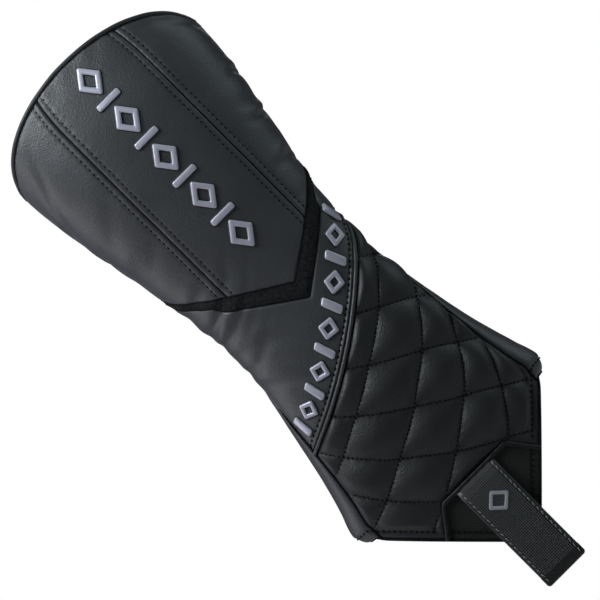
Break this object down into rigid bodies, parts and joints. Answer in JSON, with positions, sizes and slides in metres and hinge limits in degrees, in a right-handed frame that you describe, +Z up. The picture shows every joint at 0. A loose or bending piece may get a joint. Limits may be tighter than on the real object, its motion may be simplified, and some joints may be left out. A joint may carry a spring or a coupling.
{
  "type": "golf club headcover",
  "caption": "Padded sewn sleeve with an arched crown, an elastic neck, a quilted skirt with a V hem and a pull tab, to cover a fairway wood's head.",
  "frame": {"origin": "in the middle of the mouth, 3 mm below the tip of the front hem, where the club's shaft comes in", "axes": "+Z up along the sleeve towards the crown, -Y out of the front face with the quilting and the tab, +X to the right of someone facing the front"},
  "size_m": [0.1294, 0.0717, 0.3566],
  "materials": {
    "leather": "semi-matte fine grain synthetic leather",
    "quilted_leather": "semi-matte synthetic leather, quilted in diamonds",
    "felt": "matte pressed felt",
    "piping": "smooth synthetic leather piping",
    "thread": "matte overcast thread",
    "woven_patch": "matte woven nylon",
    "padding": "open cell foam wadding",
    "elastic": "ribbed woven elastic",
    "fleece": "short pile fleece",
    "motif": "satin moulded silver-lilac film",
    "tab_leather": "semi-matte synthetic leather",
    "ribbon": "matte ribbed grosgrain",
    "tab_mark": "satin embroidery thread"
  },
  "bodies": {
    "cover": {"front_left_panel": "leather", "front_centre_panel": "leather", "front_right_panel": "leather", "back_upper_panel": "leather", "crown_cap": "leather", "yoke_panel": "leather", "back_lower_panel": "leather", "quilted_skirt_panel": "quilted_leather", "chevron_trim": "felt", "crown_welt": "piping", "diagonal_piping": "piping", "notch_binding": "piping", "hem_cord": "thread", "tip_patch": "woven_patch", "front_upper_padding": "padding", "back_upper_padding": "padding", "front_lower_padding": "padding", "back_lower_padding": "padding", "crown_padding": "padding", "neck_elastic_front": "elastic", "neck_elastic_back": "elastic", "front_lining": "fleece", "back_lining": "fleece", "crown_lining": "fleece", "emblem_diamond_1": "motif", "emblem_diamond_2": "motif", "emblem_diamond_3": "motif", "emblem_diamond_4": "motif", "emblem_diamond_5": "motif", "emblem_bar_1": "motif", "emblem_bar_2": "motif", "emblem_bar_3": "motif", "emblem_bar_4": "motif", "row_diamond_1": "motif", "row_diamond_2": "motif", "row_diamond_3": "motif", "row_diamond_4": "motif", "row_diamond_5": "motif", "row_bar_1": "motif", "row_bar_2": "motif", "row_bar_3": "motif", "row_bar_4": "motif", "row_bar_5": "motif", "row_bar_6": "motif"},
    "pull_tab": {"tab_strap": "tab_leather", "tab_end_fold": "tab_leather", "tab_ribbon": "ribbon", "tab_mark": "tab_mark"}
  },
  "joints": [
    {"name": "pull_tab_hinge", "type": "hinge", "parent": "cover", "child": "pull_tab", "pos_m": [-0.0005, -0.0222, 0.0488], "axis": [-1, 0, 0], "range_deg": [0, 160]}
  ]
}
